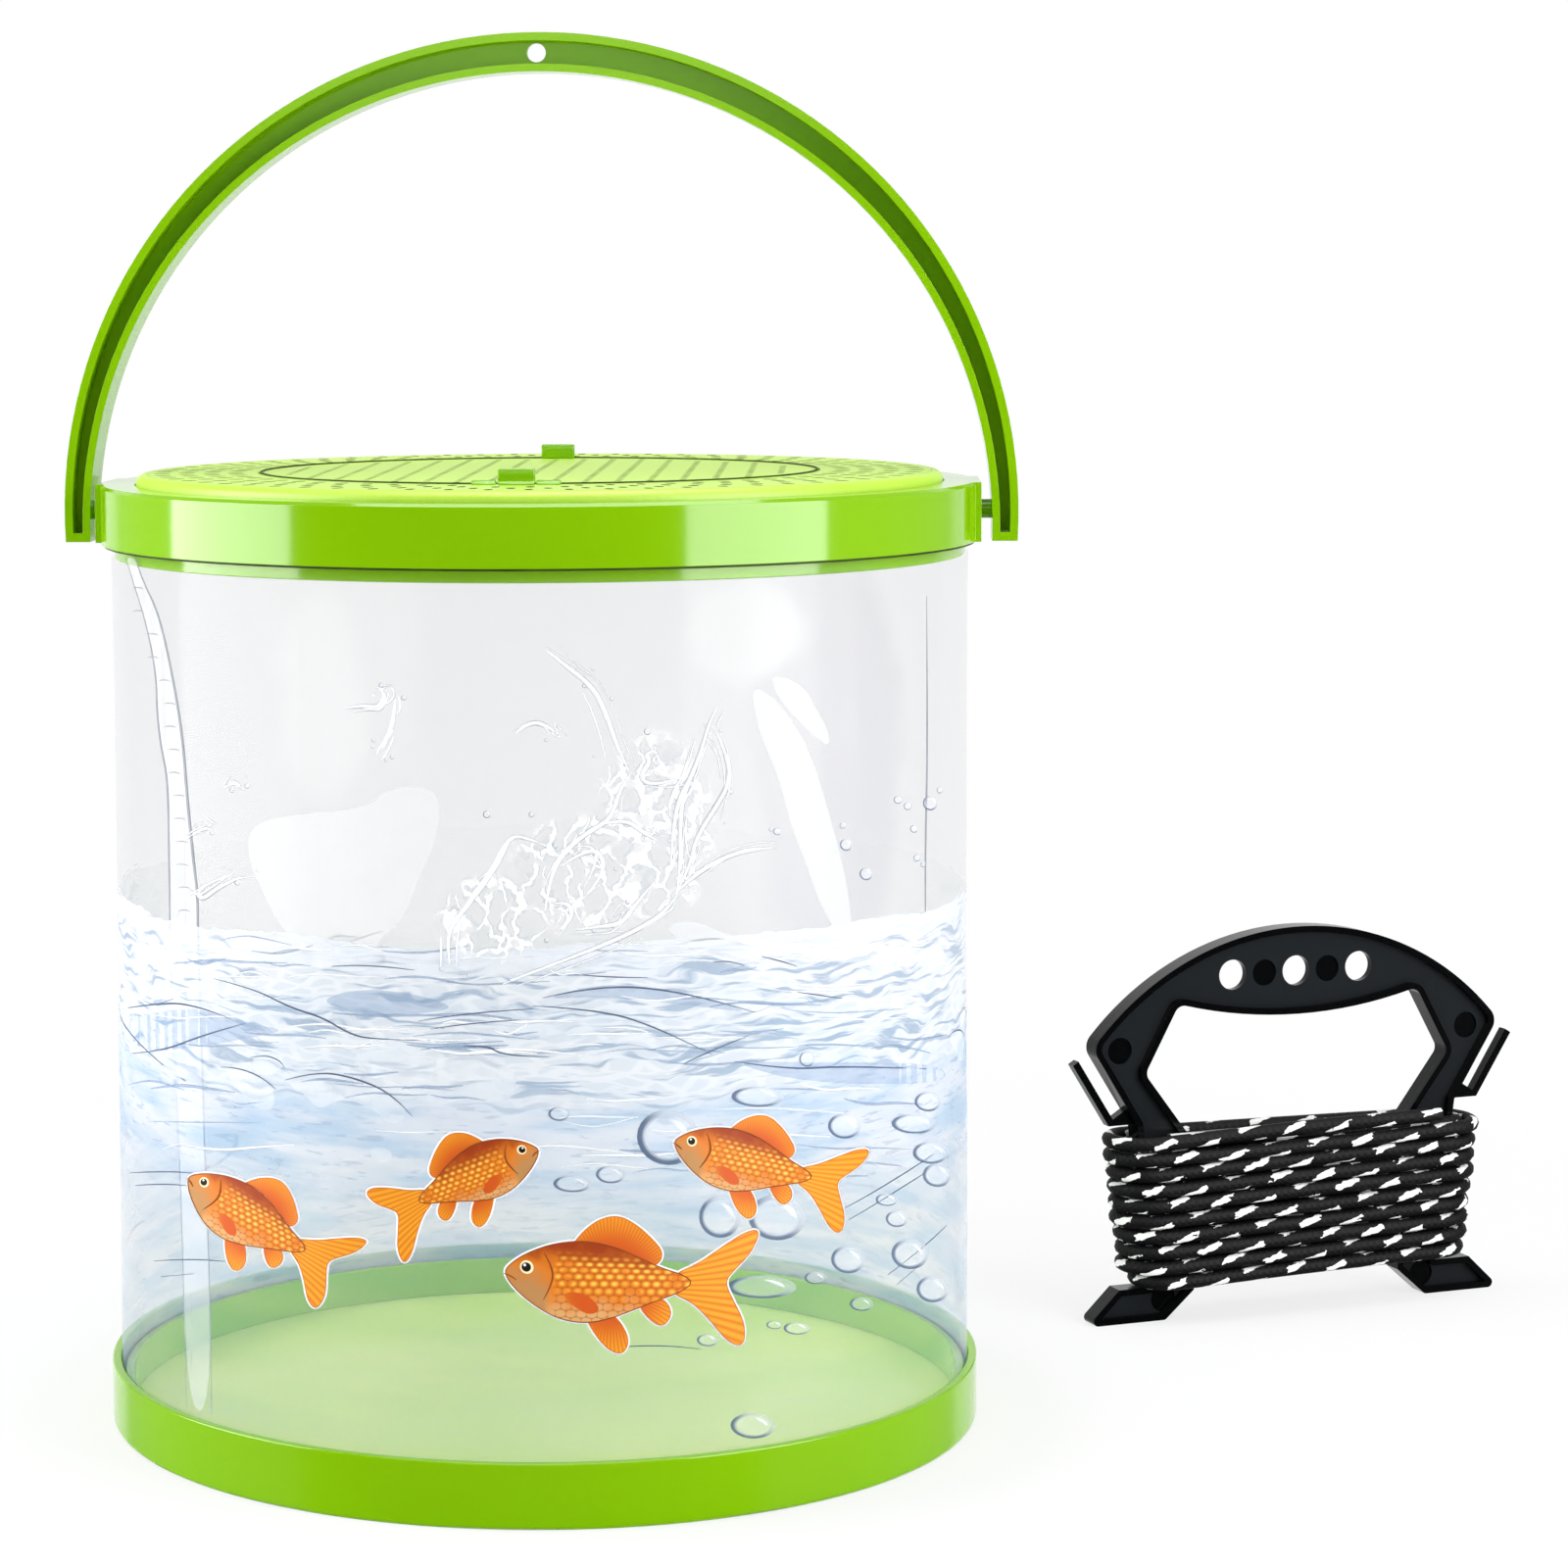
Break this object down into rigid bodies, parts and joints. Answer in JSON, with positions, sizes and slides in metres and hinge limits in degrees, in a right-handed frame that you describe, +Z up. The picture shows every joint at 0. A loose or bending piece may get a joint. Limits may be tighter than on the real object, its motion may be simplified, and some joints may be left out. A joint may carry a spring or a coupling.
{
  "type": "collapsible fish tank",
  "caption": "Round clear film tank between two hard rings, with a perforated lid, hinged hatch and swing handle, and a rope winder beside it.",
  "frame": {"origin": "centre of the tank's underside, on the floor that it stands on", "axes": "+Z up along the tank's axis, +X along the handle's pivot line toward the side where the winder stands, -Y toward the side that the picture was taken from"},
  "size_m": [0.5241, 0.3425, 0.4747],
  "materials": {
    "green_plastic": "glossy",
    "clear_film": "clear, glossy",
    "green_film": "translucent, glossy",
    "black_plastic": "glossy",
    "black_rope": "braided, black with white flecks",
    "pin_steel": "brushed"
  },
  "bodies": {
    "base": {"base_tray": "green_plastic", "base_clamp_ring": "green_plastic", "film_floor": "green_film", "film_wall": "clear_film"},
    "top": {"top_ring": "green_plastic", "top_clamp_ring": "green_plastic"},
    "handle": {"bail": "green_plastic"},
    "cover": {"lid": "green_plastic", "hatch_pin": "pin_steel"},
    "flap": {"hatch": "green_plastic"},
    "winder": {"winder_frame": "black_plastic", "rope_core": "black_rope", "rope_winding": "black_rope"}
  },
  "joints": [
    {"name": "collapse", "type": "slide", "parent": "base", "child": "top", "axis": [0, 0, 1], "range_m": [-0.26, 0], "deforming": ["film_wall"]},
    {"name": "bail_swing", "type": "hinge", "parent": "top", "child": "handle", "pos_m": [0, 0, 0.3125], "axis": [1, 0, 0], "range_deg": [-80, 80]},
    {"name": "lid_lift", "type": "slide", "parent": "top", "child": "cover", "axis": [0, 0, 1], "range_m": [0, 0.03]},
    {"name": "hatch_flip", "type": "hinge", "parent": "cover", "child": "flap", "pos_m": [0, -0.0982, 0.325], "axis": [1, 0, 0], "range_deg": [0, 45]},
    {"name": "winder_lift", "type": "slide", "parent": "base", "child": "winder", "axis": [0, 0, 1], "range_m": [0, 0.3]}
  ]
}
